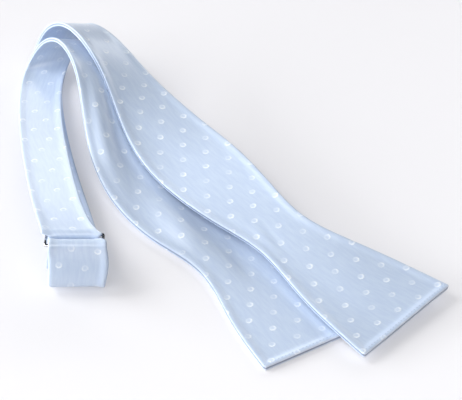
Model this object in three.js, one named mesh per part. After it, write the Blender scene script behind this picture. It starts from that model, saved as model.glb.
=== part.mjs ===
import * as THREE from 'three';
import { mergeVertices } from 'three/addons/utils/BufferGeometryUtils.js';

// A self-tie bow tie, folded in half at the centre back and laid down with its band turned over.
// All sizes are millimetres. +Z is up, the tie lies on z = 0 and the blade ends point to -Y and +X.

// Cloth: two layers of satin with an interlining, pressed flat.
const CLOTH_THICKNESS = 2.4;
const CLOTH_HALF = CLOTH_THICKNESS / 2;
const EDGE_STEPS = 4;
const FLAT_STEPS = 4;
const STATIONS_PER_SECTION = 5;

// Metal slide at the centre back: a flat frame that both band ends turn around.
const SLIDE_LENGTH = 29.2;
const SLIDE_BAR = 1.4;
const SLIDE_BEVEL = 0.3;
const SLIDE_BAR_SPACING = 7.8;
const SLIDE_CORNER_RADIUS = 1.6;
const SLIDE_SLOT_RADIUS = 0.4;
const SLIDE_HEIGHT = 25;
const SLIDE_MIDDLE_X = -76;
const FRONT_BAR_Y = -60.7;
const REAR_BAR_Y = FRONT_BAR_Y + SLIDE_BAR_SPACING;

// The band ends: a half turn around a bar, then a straight hem.
const TURN_RADIUS = 2.5;
const TURN_STEPS = 8;
const HEM_STEPS = 3;
const UPPER_HEM = { length: 18, sideways: -3, tilt: 0 };
const LOWER_HEM = { length: 10, sideways: 0, tilt: -0.24 };

// The middle of the tie's outline, seen from above, which becomes the origin.
const OUTLINE_MIDDLE = { x: -8, y: 7 };

const BLUE_SATIN = new THREE.MeshStandardMaterial({ color: 0xb9cfee, roughness: 0.45, metalness: 0 });
const POLISHED_METAL = new THREE.MeshStandardMaterial({ color: 0xc9ccd1, roughness: 0.22, metalness: 1 });

// One row is one section across the cloth, from the blade end to the centre back.
// x, y, z: middle of the section. turn, lean: direction across it, in degrees from +X and from level.
// half: half the width there. A smooth curve is drawn close to the rows, not through them.
const SECTION_COLUMNS = ['x', 'y', 'z', 'turn', 'lean', 'half'];

const UPPER_SECTIONS = [
  // Blade: square end, waist and belly.
  [84.5, -92, 5, 44, 2, 31.5],
  [54, -65.9, 8, 43, 2, 25.7],
  [27, -40.4, 11.7, 36.5, 11, 12.5],
  [5, -16, 12.3, 34.5, 7.5, 20.4],
  [-18, 15, 11.3, 30.5, 6.5, 24.5],
  [-36, 38.5, 13.7, 29.5, 3.5, 21.8],
  [-52, 65, 20, 31, -5, 16],
  // Outer arch.
  [-63, 83, 27, 33, -15, 13],
  [-75, 100, 34, 38, -24, 13],
  [-88, 116, 34, 42, -27, 13],
  [-98, 126, 25, 36, -22, 13],
  [-104, 129, 11, 20, -12, 12.5],
  [-110, 116, 1.6, 10, 0, 12.5],
  // Band, flat on the surface.
  [-112, 92, 1.2, 9, 0, 12.5],
  [-103, 46, 1.2, 14, 0, 12.5],
  [-92, 6, 1.2, 15, 0, 12.5],
  [-81, -28, 1.2, 11, 0, 13],
  // Front face of the centre-back fold.
  [-75, -59.6, 1.2, 3, 0, 14],
  [-75.7, -70.2, 4, 0, 0, 13.8],
  [-73, -64.4, 15, 0, 0, 15.2],
  [SLIDE_MIDDLE_X, FRONT_BAR_Y - TURN_RADIUS, SLIDE_HEIGHT, 0, 0, 12.8],
];

const LOWER_SECTIONS = [
  // Blade: square end, waist and belly, flat on the surface.
  [43, -104, 1.2, 29, 0, 31.5],
  [21, -76, 1.2, 32, 0, 26.5],
  [-1, -46.5, 1.2, 36, 0, 14],
  [-22, -22, 1.2, 36, 0, 22],
  [-40.5, 4, 2, 30, 0, 25.5],
  [-57, 33, 8, 22, -3, 22.5],
  // Inner arch.
  [-67, 60, 20, 19, -10, 17],
  [-77, 84, 30, 28, -22, 13],
  [-91, 106, 31, 38, -28, 12.5],
  [-102, 116, 19, 27, -20, 12.5],
  [-109, 112, 5, 10, -5, 12.5],
  // Band, rising to the slide.
  [-111, 92, 4, 3, 0, 12.5],
  [-106, 52, 9, 9, 0, 12.5],
  [-97, 9, 15, 13, 0, 12.5],
  [-88, -27, 21, 13, 0, 12.3],
  [SLIDE_MIDDLE_X, REAR_BAR_Y, SLIDE_HEIGHT + TURN_RADIUS, 0, 0, 12.8],
];

function sectionFrom(row) {
  const section = Object.fromEntries(SECTION_COLUMNS.map((name, i) => [name, row[i]]));
  const turn = THREE.MathUtils.degToRad(section.turn);
  const lean = THREE.MathUtils.degToRad(section.lean);
  const level = Math.cos(lean);
  return {
    point: new THREE.Vector3(section.x, section.y, section.z),
    across: new THREE.Vector3(Math.cos(turn) * level, Math.sin(turn) * level, Math.sin(lean)),
    half: section.half,
  };
}

// Adds sections in the given shares; the shares sum to one.
function mixSections(sections, shares) {
  const mixed = { point: new THREE.Vector3(), across: new THREE.Vector3(), half: 0 };
  sections.forEach((section, i) => {
    mixed.point.addScaledVector(section.point, shares[i]);
    mixed.across.addScaledVector(section.across, shares[i]);
    mixed.half += section.half * shares[i];
  });
  return mixed;
}

// Shares of four neighbouring rows in a uniform cubic B-spline at t, from 0 to 1.
function splineShares(t) {
  return [
    (1 - t) ** 3 / 6,
    (3 * t ** 3 - 6 * t ** 2 + 4) / 6,
    (-3 * t ** 3 + 3 * t ** 2 + 3 * t + 1) / 6,
    t ** 3 / 6,
  ];
}

// Smooth stations along the rows. A mirrored row past each end makes the curve start and stop on an end row.
function stationsAlong(rows) {
  const inner = rows.map(sectionFrom);
  const mirrored = (end, next) => mixSections([end, next], [2, -1]);
  const first = mirrored(inner[0], inner[1]);
  const last = mirrored(inner[inner.length - 1], inner[inner.length - 2]);
  const sections = [first, ...inner, last];
  const stations = [];
  for (let i = 0; i + 3 < sections.length; i += 1) {
    for (let step = 0; step < STATIONS_PER_SECTION; step += 1) {
      const shares = splineShares(step / STATIONS_PER_SECTION);
      stations.push(mixSections(sections.slice(i, i + 4), shares));
    }
  }
  stations.push(inner[inner.length - 1]);
  stations.forEach((station) => station.across.normalize());
  return stations;
}

// A half turn around a bar and a straight hem, added past the last station.
// heading: the way the cloth runs when it reaches the bar. toBar: the way from the cloth to the bar.
function bandEnd(last, heading, toBar, hem) {
  const centre = last.point.clone().addScaledVector(toBar, TURN_RADIUS);
  const stations = [];
  for (let step = 1; step <= TURN_STEPS; step += 1) {
    const angle = Math.PI * step / TURN_STEPS;
    const point = centre.clone()
      .addScaledVector(toBar, -TURN_RADIUS * Math.cos(angle))
      .addScaledVector(heading, TURN_RADIUS * Math.sin(angle));
    stations.push({ point, across: last.across.clone(), half: last.half });
  }
  const turned = stations[stations.length - 1].point;
  for (let step = 1; step <= HEM_STEPS; step += 1) {
    const part = step / HEM_STEPS;
    const point = turned.clone()
      .addScaledVector(heading, -hem.length * part)
      .addScaledVector(last.across, hem.sideways * part);
    point.z += hem.length * hem.tilt * part;
    stations.push({ point, across: last.across.clone(), half: last.half });
  }
  return stations;
}

// Outline of the cloth's section, counter-clockwise: rounded edges and flat faces in a few steps.
function sectionOutline(half) {
  const outline = [];
  const flat = half - CLOTH_HALF;
  for (const side of [1, -1]) {
    for (let step = 0; step <= EDGE_STEPS; step += 1) {
      const angle = Math.PI * (step / EDGE_STEPS - 0.5);
      const reach = flat + CLOTH_HALF * Math.cos(angle);
      outline.push(new THREE.Vector2(side * reach, side * CLOTH_HALF * Math.sin(angle)));
    }
    for (let step = 1; step < FLAT_STEPS; step += 1) {
      const reach = flat * (1 - 2 * step / FLAT_STEPS);
      outline.push(new THREE.Vector2(side * reach, side * CLOTH_HALF));
    }
  }
  return outline;
}

// A closed solid through the sections at all stations.
function clothSolid(stations) {
  const positions = [];
  const triangles = [];
  const outlines = stations.map((station) => sectionOutline(station.half));
  stations.forEach((station, i) => {
    const before = stations[Math.max(i - 1, 0)].point;
    const after = stations[Math.min(i + 1, stations.length - 1)].point;
    const along = after.clone().sub(before).normalize();
    const through = new THREE.Vector3().crossVectors(along, station.across).normalize();
    for (const corner of outlines[i]) {
      const vertex = station.point.clone()
        .addScaledVector(station.across, corner.x)
        .addScaledVector(through, corner.y);
      positions.push(vertex.x, vertex.y, vertex.z);
    }
  });
  const ring = outlines[0].length;
  for (let i = 0; i + 1 < stations.length; i += 1) {
    for (let j = 0; j < ring; j += 1) {
      const next = (j + 1) % ring;
      const a = i * ring + j;
      const b = i * ring + next;
      triangles.push(a, b, b + ring, a, b + ring, a + ring);
    }
  }
  const lastRing = (stations.length - 1) * ring;
  const startCap = THREE.ShapeUtils.triangulateShape(outlines[0], []);
  const endCap = THREE.ShapeUtils.triangulateShape(outlines[outlines.length - 1], []);
  startCap.forEach(([a, b, c]) => triangles.push(a, c, b));
  endCap.forEach(([a, b, c]) => triangles.push(lastRing + a, lastRing + b, lastRing + c));
  const geometry = new THREE.BufferGeometry();
  geometry.setAttribute('position', new THREE.Float32BufferAttribute(positions, 3));
  geometry.setIndex(triangles);
  return geometry;
}

function roundedRectangle(path, width, height, radius) {
  const x = width / 2;
  const y = height / 2;
  path.moveTo(-x + radius, -y);
  path.lineTo(x - radius, -y);
  path.absarc(x - radius, -y + radius, radius, -Math.PI / 2, 0);
  path.lineTo(x, y - radius);
  path.absarc(x - radius, y - radius, radius, 0, Math.PI / 2);
  path.lineTo(-x + radius, y);
  path.absarc(-x + radius, y - radius, radius, Math.PI / 2, Math.PI);
  path.lineTo(-x, -y + radius);
  path.absarc(-x + radius, -y + radius, radius, Math.PI, 1.5 * Math.PI);
}

// The slide's frame, flat and centred; its bevels reach the named outer and bar sizes.
function slideSolid() {
  const depth = SLIDE_BAR_SPACING + SLIDE_BAR;
  const bevels = 2 * SLIDE_BEVEL;
  const frame = new THREE.Shape();
  roundedRectangle(frame, SLIDE_LENGTH - bevels, depth - bevels, SLIDE_CORNER_RADIUS - SLIDE_BEVEL);
  const slot = new THREE.Path();
  const slotLength = SLIDE_LENGTH - 2 * SLIDE_BAR + bevels;
  const slotDepth = depth - 2 * SLIDE_BAR + bevels;
  roundedRectangle(slot, slotLength, slotDepth, SLIDE_SLOT_RADIUS + SLIDE_BEVEL);
  frame.holes.push(slot);
  const geometry = new THREE.ExtrudeGeometry(frame, {
    depth: SLIDE_BAR - bevels,
    bevelThickness: SLIDE_BEVEL,
    bevelSize: SLIDE_BEVEL,
    bevelSegments: 1,
    curveSegments: 4,
  });
  geometry.deleteAttribute('normal');
  geometry.deleteAttribute('uv');
  return mergeVertices(geometry.translate(0, 0, SLIDE_BEVEL - SLIDE_BAR / 2));
}

const UP = new THREE.Vector3(0, 0, 1);
const BACK = new THREE.Vector3(0, 1, 0);

function upperHalf() {
  const stations = stationsAlong(UPPER_SECTIONS);
  const last = stations[stations.length - 1];
  stations.push(...bandEnd(last, UP, BACK, UPPER_HEM));
  const mesh = new THREE.Mesh(clothSolid(stations), BLUE_SATIN);
  mesh.name = 'upper_half';
  return mesh;
}

function lowerHalf() {
  const stations = stationsAlong(LOWER_SECTIONS);
  const last = stations[stations.length - 1];
  stations.push(...bandEnd(last, BACK.clone().negate(), UP.clone().negate(), LOWER_HEM));
  const mesh = new THREE.Mesh(clothSolid(stations), BLUE_SATIN);
  mesh.name = 'lower_half';
  return mesh;
}

function adjusterSlide() {
  const mesh = new THREE.Mesh(slideSolid(), POLISHED_METAL);
  mesh.name = 'adjuster_slide';
  mesh.position.set(SLIDE_MIDDLE_X, (FRONT_BAR_Y + REAR_BAR_Y) / 2, SLIDE_HEIGHT);
  return mesh;
}

const bowTie = new THREE.Group();
bowTie.add(lowerHalf(), upperHalf(), adjusterSlide());
bowTie.position.set(-OUTLINE_MIDDLE.x, -OUTLINE_MIDDLE.y, 0);

export default bowTie;
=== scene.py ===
# A self-tie bow tie of light blue satin with small white dots, laid down folded at its centre back.
import math

import bmesh
import bpy
import numpy as np
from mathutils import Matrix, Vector, noise


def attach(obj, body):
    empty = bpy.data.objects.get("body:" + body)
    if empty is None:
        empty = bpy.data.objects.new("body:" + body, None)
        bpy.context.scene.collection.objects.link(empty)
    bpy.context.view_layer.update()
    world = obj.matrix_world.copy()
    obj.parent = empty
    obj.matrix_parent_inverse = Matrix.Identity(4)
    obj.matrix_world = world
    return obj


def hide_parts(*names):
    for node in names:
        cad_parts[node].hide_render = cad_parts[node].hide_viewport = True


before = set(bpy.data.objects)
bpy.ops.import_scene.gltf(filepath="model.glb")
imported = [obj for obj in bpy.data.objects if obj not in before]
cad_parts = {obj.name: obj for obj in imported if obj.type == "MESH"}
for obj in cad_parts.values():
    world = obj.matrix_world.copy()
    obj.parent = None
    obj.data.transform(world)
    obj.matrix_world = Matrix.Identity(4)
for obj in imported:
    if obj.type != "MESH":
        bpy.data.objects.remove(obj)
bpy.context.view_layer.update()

MM = 0.001

# The rows are measured from the point that the camera looks at; this moves them to the frame's origin.
OUTLINE_MIDDLE = np.array([-8.0, 7.0, 0.0])

# Camera: the photograph's angle.
VIEW_ELEVATION = math.radians(42)
VIEW_DISTANCE = 0.690
VIEW_LENS = 101.3
SENSOR_WIDTH = 36.0

# Soft lights that face the tie: name, place and size in metres, power in watts.
LIGHTS = [
    ("white wall behind", (0, 1.5, 0.78), (3.0, 0.5), 13.0),
    ("back right", (1.1, 1.1, 0.7), (1.2, 0.9), 3.5),
    ("high front", (0.2, -1.1, 1.3), (1.4, 0.9), 12.5),
    ("front left", (-1.0, -0.9, 0.8), (0.8, 0.6), 4.5),
    ("high left", (-1.2, 0.3, 1.3), (1.0, 0.8), 17.0),
    ("overhead", (-0.15, 0.25, 1.4), (0.9, 0.5), 1.0),
    ("low window at the left", (-3.0, 0, 0.645), (3.45, 1.05), 142.0),
]

# White table, lit faintly from below; the glow falls off from the front right to the back left.
TABLE_REACH = 3
TABLE_WHITE = (0.59, 0.586, 0.606, 1)
TABLE_ROUGHNESS = 0.7
TABLE_GLOW = (0.975, 0.97, 1.0, 1)
TABLE_GLOW_STRENGTH = 0.32
TABLE_GLOW_TOWARDS = (0.8, -0.6, 0)
TABLE_GLOW_SPAN = 0.25
TABLE_GLOW_LEAST = 0.44

# Slide that both band ends turn around, and the turns and hems, in millimetres; tilt is rise per length.
SLIDE_MIDDLE_X = -76
FRONT_BAR_Y = -60.7
BAR_SPACING = 7.8
SLIDE_HEIGHT = 25
TURN_RADIUS = 2.5
TURN_STEPS = 24
UPPER_HEM = {"length": 18, "sideways": -3, "tilt": 0}
LOWER_HEM = {"length": 10, "sideways": -6, "tilt": -0.24}

# Around each turn, as the cloth is drawn in between the bars: angle in degrees, middle, half width.
UPPER_TURN = [(0, -73.9, 14.5), (90, -73.9, 14.5), (150, SLIDE_MIDDLE_X, 12.8)]
LOWER_TURN = [(0, -78.9, 14.2), (38, -77.2, 15.4), (62, SLIDE_MIDDLE_X, 12.8)]

# One row is one section across the cloth, from blade end to centre back, in millimetres and degrees.
# turn, lean: direction across the cloth, from +X and from level. half: half the width.
# A smooth curve is drawn close to the rows, not through them.
UPPER_SECTIONS = [
    # x, y, z, turn, lean, half
    (84.5, -92, 5, 44, 2, 31.5),
    (54, -65.9, 8, 43, 2, 25.7),
    (27, -40.4, 11.7, 36.5, 11, 12.5),
    (5, -16, 12.3, 34.5, 7.5, 20.4),
    (-18, 15, 11.3, 30.5, 6.5, 24.5),
    (-36, 38.5, 13.7, 29.5, 3.5, 21.8),
    (-52, 65, 20, 31, -5, 16),
    (-63, 83, 27, 33, -15, 13),
    (-75, 100, 34, 38, -24, 13),
    (-88, 116, 34, 42, -27, 13),
    (-98, 126, 25, 36, -22, 13),
    (-104, 129, 11, 20, -12, 12.5),
    (-110, 116, 1.6, 10, 0, 12.5),
    (-112, 92, 1.2, 9, 0, 12.5),
    (-103, 46, 1.2, 14, 0, 12.5),
    (-92, 6, 1.2, 15, 0, 12.5),
    (-81, -28, 1.2, 11, 0, 13),
    (-75, -59.6, 2.2, 3, 0, 14),
    (-75.8, -71, 4.8, 0, 0, 14.1),
    (-73.8, -64.4, 15, 0, 0, 15.6),
    (UPPER_TURN[0][1], FRONT_BAR_Y - TURN_RADIUS, SLIDE_HEIGHT, 0, 0, UPPER_TURN[0][2]),
]
LOWER_SECTIONS = [
    # x, y, z, turn, lean, half
    (43, -104, 1.2, 29, 0, 31.5),
    (21, -76, 1.2, 32, 0, 26.5),
    (-1, -46.5, 1.2, 36, 0, 14),
    (-22, -22, 1.2, 36, 0, 22),
    (-40.5, 4, 2, 30, 0, 25.5),
    (-57, 33, 8, 22, -3, 22.5),
    (-67, 60, 20, 19, -10, 17),
    (-77, 84, 30, 28, -22, 13),
    (-91, 106, 31, 38, -28, 12.5),
    (-102, 116, 19, 27, -20, 12.5),
    (-109, 112, 5, 10, -5, 12.5),
    (-111, 92, 4, 3, 0, 12.5),
    (-106, 52, 9, 9, 0, 12.5),
    (-97, 9, 15, 13, 0, 12.5),
    (-88, -27, 21, 13, 0, 12.3),
    (-81.9, -45.5, 25.6, 4, 0, 12.7),
    (LOWER_TURN[0][1], FRONT_BAR_Y + BAR_SPACING, SLIDE_HEIGHT + TURN_RADIUS, 0, 0, LOWER_TURN[0][2]),
]

# Faces of the cloth's mesh: rows along it and columns across it, in millimetres.
CLOTH_STEP = 1.2
TURN_CLOTH_STEP = 0.5
SLIDE_REACH = 34
FINE_STEPS_PER_ROW = 60
EDGE_COLUMNS = [0.0, 0.06, 0.22, 0.5, 0.88, 1.3, 1.9, 2.7, 3.7, 5.0, 6.6]
MIDDLE_COLUMNS = 20
FLOOR_CLEARANCE = 0.05
SAME_PLACE = 0.01

# Cloth, in millimetres: a turned tube of satin with an interlining, fuller along its edges.
EDGE_BEAD = 1.6
MIDDLE_SHARE = 0.66
BEAD_REACH = 5.0
BAND_HALF = 1.2
CORNER_RADIUS = 2.0
SEAM_DEPTH = 0.5
SEAM_WIDTH = 0.25
SEAM_ROLL = -0.4
SEAM_ROLL_REACH = 0.7
SWELL_HEIGHT = 0.3
SWELL_LENGTHS = (26, 38)
UPPER_SWELL_LAYER = 9
LOWER_SWELL_LAYER = 6
RIPPLE_HEIGHT = 0.10
RIPPLE_REACH = 3.5
RIPPLE_WAVES = [
    # length, row and layer of the noise, share of the height
    (5.5, 9.0, 0, 1.0),
    (2.3, 5.0, 4, 0.5),
]

# Millimetres along the cloth where each blade passes into its flat band, and where the front face
# begins and ends.
UPPER_BAND_FROM = (230, 280)
LOWER_BAND_FROM = (215, 250)
FACE_STARTS = (498, 505)
FACE_ENDS = (521, 529)

# Soft folds and dents, in millimetres: along, across, direction in degrees from along, length, width, lift.
# A positive lift moves the cloth away from its show face, a negative one towards it.
UPPER_FOLDS = [
    (80, -8.5, 10, 11, 2.2, -0.22),
    (80, -5, 10, 12, 2.6, 0.2),
    (98, -16, -10, 16, 5, 0.4),
    (175, -10, -8, 30, 7, 0.4),
    (40, -12, 4, 26, 8, 0.5),
    (516, 0, 0, 7, 40, -1.1),
    (513, -15.5, 0, 22, 3.6, 1.2),
    (505.5, 0, 0, 0.7, 40, 0.4),
    (502.5, 3, 0, 0.8, 9, 0.4),
]
LOWER_FOLDS = [
    (178, -11.5, 9, 42, 6.5, -3.1),
    (106, -5, 0, 38, 10, -3.3),
    (66, 2, 8, 14, 3.4, 0.5),
    (79, 4, 0, 9, 2.6, -0.3),
    (100, -6, 14, 18, 6, -0.5),
    (40, -14, -10, 22, 7, -0.4),
]

# Woven dots: the two repeats of the pattern as (across, along), the first dot and the dot's size, in metres.
REPEAT_A = (0.00633, 0.00914)
REPEAT_B = (-0.00642, 0.01084)
FIRST_DOT = (-0.0047, 0.0160)
DOT_RADIUS = 0.0018

# The dot's edge, its hollow middle and its thin side, in shares of its radius, and how its thread varies.
DOT_EDGE = (1.1, 0.8)
DOT_HOLLOW = (0.75, 0.3)
# The rim's painted highlight is faintest on its thin side, as on a shaded side.
DOT_THIN_TOWARDS = (-0.35, 0.94, 0)
DOT_THIN_SPAN = (-0.4, 0.9)
DOT_THIN_LEAST = 0.15
DOT_UNEVENNESS = 0.5
DOT_THREADS_PER_METRE = 1500.0
DOT_WEAR_PER_METRE = 130.0
DOT_WEAR_SPAN = (0.3, 0.65)
DOT_WORN_LEAST = 0.45

# How far the pattern has slipped where the cloth was cut, in millimetres: along, across slip, along slip.
UPPER_SLIP = [
    (0, 0.6, 3.8),
    (30, -2.1, -0.3),
    (60, -0.8, -0.6),
    (90, 1.2, -0.2),
    (120, 1.0, -2.0),
    (160, 1.4, 0.1),
    (200, 0.3, 2.1),
    (245, -3.6, -2.0),
    (400, -2.4, 0.7),
    (480, -2.4, 0.7),
    (500, -2.4, 4.6),
]
LOWER_SLIP = [(0, -2.0, -5.1), (76, 1.8, -8.8)]
STRAP_SLIP = [(290, 0.2, 5.4), (352, 4.2, 4.7), (392, -1.9, 8.7)]

# Satin: colours, and the share of each colour that is mixed in.
SATIN_BLUE = (0.46, 0.56, 0.735, 1)
SATIN_BLUE_LIGHT = (0.51, 0.61, 0.765, 1)
DOT_WHITE = (0.90, 0.94, 0.98, 1)
# Dark blue painted as shade in the seam groove along each edge; the same blue is the stitches' thread.
SEAM_PAINTED_SHADE_AND_STITCH_BLUE = (0.10, 0.14, 0.25, 1)
# Pale colour painted on the blade ends, as light falling on their rims.
END_PAINTED_LIGHT = (0.80, 0.83, 0.92, 1)
DOT_FILL_SHARE = 0.15
# White painted on the dots' raised rims as the highlight of their threads.
DOT_RIM_HIGHLIGHT_SHARE = 0.65
END_PAINTED_LIGHT_SHARE = 0.6
SEAM_PAINTED_SHADE_SHARE = 0.8
STITCH_SHARE = 0.35

# Bands along the edge and the end of the cloth, from where each one starts to where it is full, in metres.
EDGE_ROLL_BAND = (0.0016, 0.0005)
# Band of the painted light on the blade ends.
END_PAINTED_LIGHT_BAND = (0.0014, 0.0006)
# Band of the painted shade in the seam groove, over the seam's own dark joint.
SEAM_PAINTED_SHADE_BAND = (0.00016, 0.00003)
STITCH_BAND = (0.0004, 0.0001)

# Stitches inside the end, in metres, and where their wave passes from gap to stitch.
STITCH_INSET = 0.0022
STITCH_LENGTH = 0.0019
STITCH_RISE = (0.2, 0.7)

# Satin: gloss of its floating threads over a duller ground, and its relief.
GROUND_ROUGHNESS = 0.6
GLOSS_ROUGHNESS = 0.32
GLOSS_IOR = 1.8
EDGE_DULLNESS = 0.6
DOT_DULLNESS = 0.5
SHEEN = 0.1
SHEEN_ROUGHNESS = 0.4
DOT_RELIEF = 1.6
WEAVE_RELIEF = 0.35
SATIN_RELIEF = 0.35
SATIN_RELIEF_DEPTH = 0.0001
WEAVE_ANGLE = 45
WEAVE_STRETCH = 0.16
THREADS_PER_METRE = 2600.0
WEAVE_TONE_PER_METRE = 700.0
WEAVE_TONE_SPAN = (0.3, 0.7)

# Slide metal, with fine lines drawn along its bars.
METAL_DARK = (0.55, 0.56, 0.58, 1)
METAL_LIGHT = (0.68, 0.69, 0.71, 1)
METAL_LINES_PER_METRE = (300.0, 4000.0, 4000.0)
METAL_LINES_SPAN = (0.3, 0.7)
METAL_ROUGHNESS = (0.1, 0.22)
METAL_RELIEF = 0.15
METAL_RELIEF_DEPTH = 0.00005


def smooth(edge0, edge1, x):
    """An even rise from 0 at edge0 to 1 at edge1."""
    t = np.clip((x - edge0) / (edge1 - edge0), 0, 1)
    return t * t * (3 - 2 * t)


# The route of one half of the tie

def rows_curve(sections):
    """Points, directions across and half widths along a smooth curve close to the rows, a cubic B-spline."""
    rows = np.array(sections, float)
    turn, lean = np.radians(rows[:, 3]), np.radians(rows[:, 4])
    across = np.stack([np.cos(turn) * np.cos(lean), np.sin(turn) * np.cos(lean), np.sin(lean)], axis=1)
    keys = np.hstack([rows[:, :3], across, rows[:, 5:]])
    keys = np.vstack([2 * keys[0] - keys[1], keys, 2 * keys[-1] - keys[-2]])
    out = []
    for i in range(len(rows) - 1):
        for t in np.arange(FINE_STEPS_PER_ROW) / FINE_STEPS_PER_ROW:
            shares = [(1 - t) ** 3, 3 * t**3 - 6 * t**2 + 4, -3 * t**3 + 3 * t**2 + 3 * t + 1, t**3]
            out.append(np.array(shares) / 6 @ keys[i:i + 4])
    out.append(keys[-2])
    return out


def band_end(last, heading, to_bar, hem, widths):
    """A half turn around a bar of the slide, drawn in to pass between the bars, then the straight hem."""
    point, across = last[:3], last[3:6]
    heading, to_bar = np.array(heading, float), np.array(to_bar, float)
    angles, middles, halves = np.array(widths, float).T
    out = []
    for angle in np.linspace(0, math.pi, TURN_STEPS + 1)[1:]:
        turned = point + to_bar * TURN_RADIUS * (1 - math.cos(angle))
        turned = turned + heading * TURN_RADIUS * math.sin(angle)
        turned[0] = np.interp(math.degrees(angle), angles, middles)
        half = [np.interp(math.degrees(angle), angles, halves)]
        out.append(np.concatenate([turned, across, half]))
    slope = -heading * hem["length"] + across * hem["sideways"]
    slope = slope + np.array([0, 0, hem["length"] * hem["tilt"]])
    for share in np.linspace(0, 1, 2 * TURN_STEPS + 1)[1:]:
        out.append(np.concatenate([turned + slope * share, across, half]))
    return out


class Route:
    """The middle line of the cloth, measured along its length in millimetres."""

    def __init__(self, samples):
        samples = np.array(samples)
        points = samples[:, :3] - OUTLINE_MIDDLE
        self.along = np.concatenate([[0], np.cumsum(np.linalg.norm(np.diff(points, axis=0), axis=1))])
        self.length = self.along[-1]
        heading = np.gradient(points, axis=0)
        heading /= np.linalg.norm(heading, axis=1)[:, None]
        across = samples[:, 3:6] / np.linalg.norm(samples[:, 3:6], axis=1)[:, None]
        through = np.cross(heading, across)
        through /= np.linalg.norm(through, axis=1)[:, None]
        self.columns = np.hstack([points, across, through, samples[:, 6:]])

    def at(self, distance):
        """Point, direction across, direction through the cloth and half width at a distance along it."""
        values = np.array([np.interp(distance, self.along, column) for column in self.columns.T])
        return values[0:3], values[3:6], values[6:9], values[9]


# Cloth pieces

def stations_along(length):
    """Distances of the rows of faces, close together at both rounded ends and around the slide."""
    ends = np.array(EDGE_COLUMNS[:-2])
    turn_from, turn_to = length - SLIDE_REACH, length - ends[-1]
    inner = np.linspace(ends[-1], turn_from, int((turn_from - ends[-1]) / CLOTH_STEP))
    around = np.linspace(turn_from, turn_to, int((turn_to - turn_from) / TURN_CLOTH_STEP))
    return np.concatenate([ends[:-1], inner[:-1], around, (length - ends[:-1])[::-1]])


def columns_across(half):
    """Distances from the middle line, close together at both rolled edges."""
    edge = half - np.array(EDGE_COLUMNS)
    inner = np.linspace(-edge[-1], edge[-1], MIDDLE_COLUMNS + 1)
    return np.concatenate([-edge[:-1], inner, edge[:-1][::-1]])


def half_thickness(from_edge, bead):
    """A rolled bead along the edge that settles into the flat middle."""
    roll = bead * np.sqrt(np.clip(1 - (1 - np.clip(from_edge / bead, 0, 1)) ** 2, 0, 1))
    return roll - bead * (1 - MIDDLE_SHARE) * smooth(bead, BEAD_REACH, from_edge)


def seam_inset(from_edge):
    """The shallow groove along an edge, where the two layers of satin meet."""
    return SEAM_DEPTH * np.exp(-(from_edge / SEAM_WIDTH) ** 2)


def seam_roll(from_edge):
    """How far the groove lies off the middle of the edge: towards the show face when negative."""
    return SEAM_ROLL * np.exp(-(from_edge / SEAM_ROLL_REACH) ** 2)


def fold_lift(folds, swell_layer, across, along):
    """How far the folds and a slow swell move the middle of the cloth."""
    lift = np.zeros(len(across))
    for fold_along, fold_across, direction, length, width, height in folds:
        turn = math.radians(direction)
        forward, sideways = along - fold_along, across - fold_across
        lengthwise = forward * math.cos(turn) + sideways * math.sin(turn)
        widthwise = sideways * math.cos(turn) - forward * math.sin(turn)
        lift += height * np.exp(-(lengthwise / length) ** 2 - (widthwise / width) ** 2)
    for i, x in enumerate(across):
        place = Vector((x / SWELL_LENGTHS[0], along / SWELL_LENGTHS[1], swell_layer))
        lift[i] += SWELL_HEIGHT * noise.noise(place)
    return lift


def slipped(slip, across, along):
    """The pattern's place at a place on the cloth."""
    places, across_slips, along_slips = np.array(slip, float).T
    return across - np.interp(along, places, across_slips), along - np.interp(along, places, along_slips)


def cloth_half(name, sections, end, folds, swell_layer, slips, band_from):
    """One half of the tie as a closed shell around its middle surface."""
    samples = rows_curve(sections)
    samples += band_end(samples[-1], *end)
    route = Route(samples)
    rows = stations_along(route.length)
    column_count = len(columns_across(0))
    places = np.zeros((len(rows), column_count, 2, 3))
    pattern = np.zeros((len(rows), column_count, 2, 2))
    edge_distance = np.zeros((len(rows), column_count))
    for i, distance in enumerate(rows):
        point, across, through, half = route.at(distance)
        heading = np.cross(across, through)
        from_end = min(distance, route.length - distance)
        short = max(1 - from_end / CORNER_RADIUS, 0)
        corner = math.sqrt(1 - short**2)
        reach = half - CORNER_RADIUS * (1 - corner)
        u = columns_across(reach)
        from_side = reach - np.abs(u)
        from_edge = np.minimum(from_side, from_end)
        on_blade = 1 - smooth(*band_from, distance)
        on_face = smooth(*FACE_STARTS, distance) * (1 - smooth(*FACE_ENDS, distance))
        free = max(on_blade, on_face)
        thick = half_thickness(from_edge, BAND_HALF + (EDGE_BEAD - BAND_HALF) * free)
        lift = fold_lift(folds, swell_layer, u, distance) * free + seam_roll(from_edge) * on_blade
        ripple = np.array([edge_ripple(x, distance, e) for x, e in zip(u, from_side)])
        inset = np.maximum(seam_inset(from_end), short * seam_inset(from_side))
        middle = point + np.outer(inset * np.sign(route.length / 2 - distance), heading)
        middle = middle + np.outer(u - np.sign(u) * corner * seam_inset(from_side), across)
        middle = middle + np.outer(lift, through)
        for side, sign in enumerate((-1, 1)):
            places[i, :, side] = middle + np.outer(sign * (thick + ripple * np.minimum(thick, 1)), through)
            pattern[i, :, side, 0], pattern[i, :, side, 1] = slipped(slips[side], -sign * u, distance)
        edge_distance[i] = from_edge
    places[..., 2] = np.maximum(places[..., 2], FLOOR_CLEARANCE)
    return grid_shell(name, places, pattern, edge_distance, rows)


def edge_ripple(across, along, from_side):
    """Small uneven pull of the seam just inside each edge."""
    side = 1 if across > 0 else -1
    waves = [share * noise.noise(Vector((along / length, side * row, layer)))
             for length, row, layer, share in RIPPLE_WAVES]
    return RIPPLE_HEIGHT * sum(waves) * math.exp(-from_side / RIPPLE_REACH)


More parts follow.
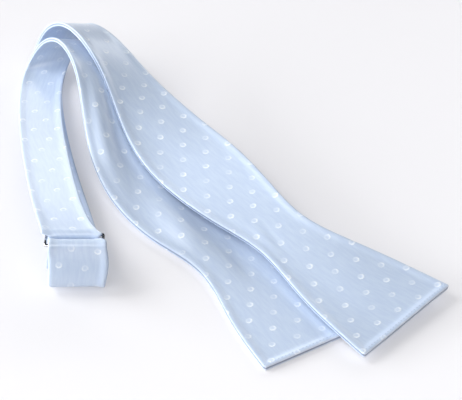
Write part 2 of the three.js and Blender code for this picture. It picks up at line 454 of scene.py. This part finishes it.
def grid_shell(name, places, pattern, edge_distance, rows):
    """Two grids, one for each side of the cloth, joined at their rims."""
    row_count, column_count = edge_distance.shape
    last_row, last_column = row_count - 1, column_count - 1
    mesh_maker = bmesh.new()
    cloth_map = mesh_maker.loops.layers.uv.new("cloth")
    from_edge = mesh_maker.verts.layers.float.new("from_edge")
    from_end = mesh_maker.verts.layers.float.new("from_end")
    for side in (0, 1):
        made = bmesh.ops.create_grid(mesh_maker, x_segments=last_column, y_segments=last_row, size=1)
        cell = {}
        for vertex in made["verts"]:
            column = round((vertex.co.x + 1) / 2 * last_column)
            row = round((vertex.co.y + 1) / 2 * last_row)
            cell[vertex] = (row, column)
            vertex.co = Vector(places[row, column, side]) * MM
            vertex[from_edge] = edge_distance[row, column] * MM
            vertex[from_end] = rows[row] * MM
        faces = {face for vertex in made["verts"] for face in vertex.link_faces}
        for face in faces:
            for loop in face.loops:
                loop[cloth_map].uv = pattern[(*cell[loop.vert], side)] * MM
        if side == 1:
            bmesh.ops.reverse_faces(mesh_maker, faces=list(faces))
    bmesh.ops.remove_doubles(mesh_maker, verts=mesh_maker.verts, dist=SAME_PLACE * MM)
    for face in mesh_maker.faces:
        face.smooth = True
    return finished(name, mesh_maker)


def finished(name, mesh_maker):
    """The object of a mesh, at the origin with its place in its mesh."""
    mesh = bpy.data.meshes.new(name)
    mesh_maker.to_mesh(mesh)
    mesh_maker.free()
    piece = bpy.data.objects.new(name, mesh)
    bpy.context.collection.objects.link(piece)
    return piece


# Materials

class Nodes:
    """Places nodes in a tree and joins their sockets."""

    def __init__(self, tree):
        self.tree = tree

    def add(self, kind, inputs=None, **settings):
        node = self.tree.nodes.new(kind)
        for name, value in settings.items():
            setattr(node, name, value)
        for key, value in (inputs or {}).items():
            if isinstance(value, bpy.types.NodeSocket):
                self.tree.links.new(value, node.inputs[key])
            else:
                node.inputs[key].default_value = value
        return node

    def math(self, operation, a, b=0.0, c=0.0, clamp=False):
        node = self.add("ShaderNodeMath", {0: a, 1: b, 2: c}, operation=operation, use_clamp=clamp)
        return node.outputs[0]

    def vector(self, operation, a, b=(0, 0, 0)):
        node = self.add("ShaderNodeVectorMath", {0: a, 1: b}, operation=operation)
        return node.outputs["Value" if operation in ("DOT_PRODUCT", "LENGTH") else "Vector"]

    def scaled(self, vector, factor):
        node = self.add("ShaderNodeVectorMath", {0: vector, "Scale": factor}, operation="SCALE")
        return node.outputs["Vector"]

    def range(self, value, low, high, to_low=0.0, to_high=1.0):
        span = {0: value, 1: low, 2: high, 3: to_low, 4: to_high}
        node = self.add("ShaderNodeMapRange", span, interpolation_type="SMOOTHSTEP")
        return node.outputs[0]

    def noise(self, place, detail, roughness=0.5):
        node = self.add("ShaderNodeTexNoise", {"Vector": place, "Scale": 1.0, "Detail": detail,
                                               "Roughness": roughness})
        return node.outputs[0]

    def mix(self, factor, a, b):
        node = self.add("ShaderNodeMix", {0: factor, 6: a, 7: b}, data_type="RGBA")
        return node.outputs[2]


def new_group(name, inputs, outputs):
    """An effect that materials share, with its named inputs and outputs."""
    tree = bpy.data.node_groups.new(name, "ShaderNodeTree")
    for label, kind, value in inputs:
        socket = tree.interface.new_socket(name=label, in_out="INPUT", socket_type=kind)
        if value is not None:
            socket.default_value = value
    for label, kind in outputs:
        tree.interface.new_socket(name=label, in_out="OUTPUT", socket_type=kind)
    nodes = Nodes(tree)
    return tree, nodes, nodes.add("NodeGroupInput").outputs, nodes.add("NodeGroupOutput")


def pin_dots_group():
    """Masks of the woven dots: the whole dot, and its raised rim, which is thin on one side and also carries
    the dots' painted highlight.
    """
    tree, nodes, given, result = new_group(
        "pin dots",
        [("Place", "NodeSocketVector", None), ("Radius", "NodeSocketFloat", DOT_RADIUS)],
        [("Dot", "NodeSocketFloat"), ("Rim", "NodeSocketFloat")],
    )
    (ax, ay), (bx, by) = REPEAT_A, REPEAT_B
    area = ax * by - ay * bx
    first = nodes.vector("SUBTRACT", given["Place"], (*FIRST_DOT, 0))
    along_a = nodes.vector("DOT_PRODUCT", first, (by / area, -bx / area, 0))
    along_b = nodes.vector("DOT_PRODUCT", first, (-ay / area, ax / area, 0))
    rest_a = nodes.math("SUBTRACT", along_a, nodes.math("ROUND", along_a))
    rest_b = nodes.math("SUBTRACT", along_b, nodes.math("ROUND", along_b))
    offset = nodes.vector("ADD", nodes.scaled((ax, ay, 0), rest_a), nodes.scaled((bx, by, 0), rest_b))
    distance = nodes.math("DIVIDE", nodes.vector("LENGTH", offset), given["Radius"])
    threads = nodes.noise(nodes.scaled(given["Place"], DOT_THREADS_PER_METRE), 1.0)
    even = nodes.math("SUBTRACT", distance, DOT_UNEVENNESS / 2)
    uneven = nodes.math("MULTIPLY_ADD", threads, DOT_UNEVENNESS, even)
    dot = nodes.range(uneven, *DOT_EDGE)
    solid = nodes.math("SUBTRACT", 1.0, nodes.range(uneven, *DOT_HOLLOW))
    thin_side = nodes.math("DIVIDE", nodes.vector("DOT_PRODUCT", offset, DOT_THIN_TOWARDS), given["Radius"])
    thin = nodes.range(thin_side, *DOT_THIN_SPAN, 1.0, DOT_THIN_LEAST)
    rim = nodes.math("MULTIPLY", dot, nodes.math("MULTIPLY", thin, solid))
    wear = nodes.noise(nodes.scaled(given["Place"], DOT_WEAR_PER_METRE), 0.0)
    strength = nodes.range(wear, *DOT_WEAR_SPAN, DOT_WORN_LEAST, 1.0)
    nodes.tree.links.new(nodes.math("MULTIPLY", dot, strength), result.inputs["Dot"])
    nodes.tree.links.new(nodes.math("MULTIPLY", rim, strength), result.inputs["Rim"])
    return tree


def satin_weave_group():
    """Fine floats of satin thread, and a slower unevenness of the thread's tone."""
    tree, nodes, given, result = new_group(
        "satin weave",
        [("Place", "NodeSocketVector", None), ("Threads per metre", "NodeSocketFloat", THREADS_PER_METRE)],
        [("Height", "NodeSocketFloat"), ("Tone", "NodeSocketFloat")],
    )
    turn = (0, 0, math.radians(WEAVE_ANGLE))
    mapping = {"Vector": given["Place"], "Rotation": turn, "Scale": (1.0, WEAVE_STRETCH, 1.0)}
    stretched = nodes.add("ShaderNodeMapping", mapping).outputs[0]
    floats = nodes.noise(nodes.scaled(stretched, given["Threads per metre"]), 2.0, 0.55)
    slow = nodes.noise(nodes.scaled(stretched, WEAVE_TONE_PER_METRE), 3.0)
    nodes.tree.links.new(floats, result.inputs["Height"])
    nodes.tree.links.new(slow, result.inputs["Tone"])
    return tree


def plain_material(name):
    """A new material, its node builder and its shader."""
    material = bpy.data.materials.new(name)
    material.use_nodes = True
    return material, Nodes(material.node_tree), material.node_tree.nodes["Principled BSDF"]


def satin_colour(nodes, cloth, edge, dots, weave):
    """The ground with its dots, painted highlight on the dot rims, painted light on the blade end, painted
    shade along the seam line and the row of stitches inside the end.
    """
    from_end = nodes.add("ShaderNodeAttribute", attribute_name="from_end").outputs["Fac"]
    ground = nodes.mix(nodes.range(weave.outputs["Tone"], *WEAVE_TONE_SPAN), SATIN_BLUE, SATIN_BLUE_LIGHT)
    painted_end_light = nodes.range(from_end, *END_PAINTED_LIGHT_BAND)
    off_line = nodes.math("ABSOLUTE", nodes.math("SUBTRACT", from_end, STITCH_INSET))
    across = nodes.add("ShaderNodeSeparateXYZ", {0: cloth}).outputs[0]
    wave = nodes.math("SINE", nodes.math("MULTIPLY", across, 2 * math.pi / STITCH_LENGTH))
    stitch = nodes.math("MULTIPLY", nodes.range(off_line, *STITCH_BAND), nodes.range(wave, *STITCH_RISE))
    layers = [
        # Painted light on the rims of the blade ends.
        (painted_end_light, END_PAINTED_LIGHT_SHARE, END_PAINTED_LIGHT),
        (dots.outputs["Dot"], DOT_FILL_SHARE, DOT_WHITE),
        # Painted highlight on the dots' raised rims.
        (dots.outputs["Rim"], DOT_RIM_HIGHLIGHT_SHARE, DOT_WHITE),
        # Painted shade in the seam groove, over the seam's own dark joint.
        (nodes.range(edge, *SEAM_PAINTED_SHADE_BAND), SEAM_PAINTED_SHADE_SHARE, SEAM_PAINTED_SHADE_AND_STITCH_BLUE),
        (stitch, STITCH_SHARE, SEAM_PAINTED_SHADE_AND_STITCH_BLUE),
    ]
    colour = ground
    for mask, share, layer_colour in layers:
        colour = nodes.mix(nodes.math("MULTIPLY", mask, share), colour, layer_colour)
    return colour


def satin_material(pin_dots, satin_weave):
    """Light blue satin with white dots; duller on its rolled edges."""
    material, nodes, shader = plain_material("dotted satin")
    cloth = nodes.add("ShaderNodeUVMap", uv_map="cloth").outputs[0]
    edge = nodes.add("ShaderNodeAttribute", attribute_name="from_edge").outputs["Fac"]
    dots = nodes.add("ShaderNodeGroup", node_tree=pin_dots)
    weave = nodes.add("ShaderNodeGroup", node_tree=satin_weave)
    for effect in (dots, weave):
        nodes.tree.links.new(cloth, effect.inputs["Place"])
    nodes.tree.links.new(satin_colour(nodes, cloth, edge, dots, weave), shader.inputs["Base Color"])
    on_dot = nodes.math("MULTIPLY", dots.outputs["Dot"], DOT_DULLNESS)
    dull = nodes.math("MULTIPLY_ADD", nodes.range(edge, *EDGE_ROLL_BAND), EDGE_DULLNESS, on_dot)
    gloss = nodes.math("SUBTRACT", 1.0, dull, clamp=True)
    nodes.tree.links.new(gloss, shader.inputs["Coat Weight"])
    woven = nodes.math("MULTIPLY", weave.outputs["Height"], WEAVE_RELIEF)
    height = nodes.math("MULTIPLY_ADD", dots.outputs["Rim"], DOT_RELIEF, woven)
    relief = {"Height": height, "Strength": SATIN_RELIEF, "Distance": SATIN_RELIEF_DEPTH}
    bump = nodes.add("ShaderNodeBump", relief)
    nodes.tree.links.new(bump.outputs[0], shader.inputs["Normal"])
    nodes.tree.links.new(bump.outputs[0], shader.inputs["Coat Normal"])
    shader.inputs["Roughness"].default_value = GROUND_ROUGHNESS
    shader.inputs["Coat Roughness"].default_value = GLOSS_ROUGHNESS
    shader.inputs["Coat IOR"].default_value = GLOSS_IOR
    shader.inputs["Sheen Weight"].default_value = SHEEN
    shader.inputs["Sheen Roughness"].default_value = SHEEN_ROUGHNESS
    return material


def slide_material():
    """Polished metal with fine drawn lines."""
    material, nodes, shader = plain_material("polished slide")
    place = nodes.add("ShaderNodeTexCoord").outputs["Object"]
    drawn = nodes.add("ShaderNodeMapping", {"Vector": place, "Scale": METAL_LINES_PER_METRE}).outputs[0]
    lines = nodes.noise(drawn, 3.0)
    roughness = nodes.range(lines, *METAL_LINES_SPAN, *METAL_ROUGHNESS)
    nodes.tree.links.new(roughness, shader.inputs["Roughness"])
    nodes.tree.links.new(nodes.mix(lines, METAL_DARK, METAL_LIGHT), shader.inputs["Base Color"])
    relief = {"Height": lines, "Strength": METAL_RELIEF, "Distance": METAL_RELIEF_DEPTH}
    bump = nodes.add("ShaderNodeBump", relief)
    nodes.tree.links.new(bump.outputs[0], shader.inputs["Normal"])
    shader.inputs["Metallic"].default_value = 1.0
    return material


def table_material():
    """White table whose faint glow fades to the back left."""
    material, nodes, shader = plain_material("white table, lit from below")
    shader.inputs["Base Color"].default_value = TABLE_WHITE
    shader.inputs["Roughness"].default_value = TABLE_ROUGHNESS
    place = nodes.add("ShaderNodeTexCoord").outputs["Object"]
    towards = nodes.vector("DOT_PRODUCT", place, TABLE_GLOW_TOWARDS)
    span = {0: towards, 1: -TABLE_GLOW_SPAN, 2: TABLE_GLOW_SPAN, 3: TABLE_GLOW_LEAST, 4: 1.0}
    glow = nodes.add("ShaderNodeMapRange", span).outputs[0]
    nodes.tree.links.new(nodes.mix(glow, (0, 0, 0, 1), TABLE_GLOW), shader.inputs["Emission Color"])
    shader.inputs["Emission Strength"].default_value = TABLE_GLOW_STRENGTH
    return material


# Stage

def stage():
    """The white table that the tie lies on."""
    floor_maker = bmesh.new()
    bmesh.ops.create_grid(floor_maker, x_segments=1, y_segments=1, size=TABLE_REACH)
    floor = finished("floor", floor_maker)
    floor.data.materials.append(table_material())


def area_light(name, place, size, power):
    """A rectangular light that faces the frame's origin."""
    light = bpy.data.lights.new(name, "AREA")
    light.shape = "RECTANGLE"
    light.size, light.size_y = size
    light.energy = power
    lamp = bpy.data.objects.new(name, light)
    bpy.context.collection.objects.link(lamp)
    lamp.location = place
    lamp.rotation_euler = (-Vector(place)).to_track_quat("-Z", "Y").to_euler()


def lights():
    """A dark room with soft lights around the table."""
    world = bpy.data.worlds.new("studio")
    world.use_nodes = True
    world.node_tree.nodes["Background"].inputs["Color"].default_value = (0, 0, 0, 1)
    bpy.context.scene.world = world
    for name, place, size, power in LIGHTS:
        area_light(name, place, size, power)
    bpy.context.scene.view_settings.view_transform = "Standard"


def camera():
    """The photograph's view, from above the blade ends."""
    target = Vector(-OUTLINE_MIDDLE) * MM
    back = Vector((0, -math.cos(VIEW_ELEVATION), math.sin(VIEW_ELEVATION)))
    data = bpy.data.cameras.new("camera")
    data.lens = VIEW_LENS
    data.sensor_width = SENSOR_WIDTH
    eye = bpy.data.objects.new("camera", data)
    bpy.context.collection.objects.link(eye)
    eye.location = target + back * VIEW_DISTANCE
    eye.rotation_euler = (math.pi / 2 - VIEW_ELEVATION, 0, 0)
    bpy.context.scene.camera = eye


camera()
lights()
stage()

satin = satin_material(pin_dots_group(), satin_weave_group())
UP, DOWN, BACK, FRONT = (0, 0, 1), (0, 0, -1), (0, 1, 0), (0, -1, 0)

upper = cloth_half("upper_cloth", UPPER_SECTIONS, (UP, BACK, UPPER_HEM, UPPER_TURN), UPPER_FOLDS,
                   UPPER_SWELL_LAYER, (UPPER_SLIP, UPPER_SLIP), UPPER_BAND_FROM)
lower = cloth_half("lower_cloth", LOWER_SECTIONS, (FRONT, DOWN, LOWER_HEM, LOWER_TURN), LOWER_FOLDS,
                   LOWER_SWELL_LAYER, (LOWER_SLIP, STRAP_SLIP), LOWER_BAND_FROM)
for piece, node in ((upper, "upper_half"), (lower, "lower_half")):
    piece.data.materials.append(satin)
    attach(piece, "root")
    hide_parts(node)

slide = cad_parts["adjuster_slide"]
slide.data.materials.clear()
slide.data.materials.append(slide_material())
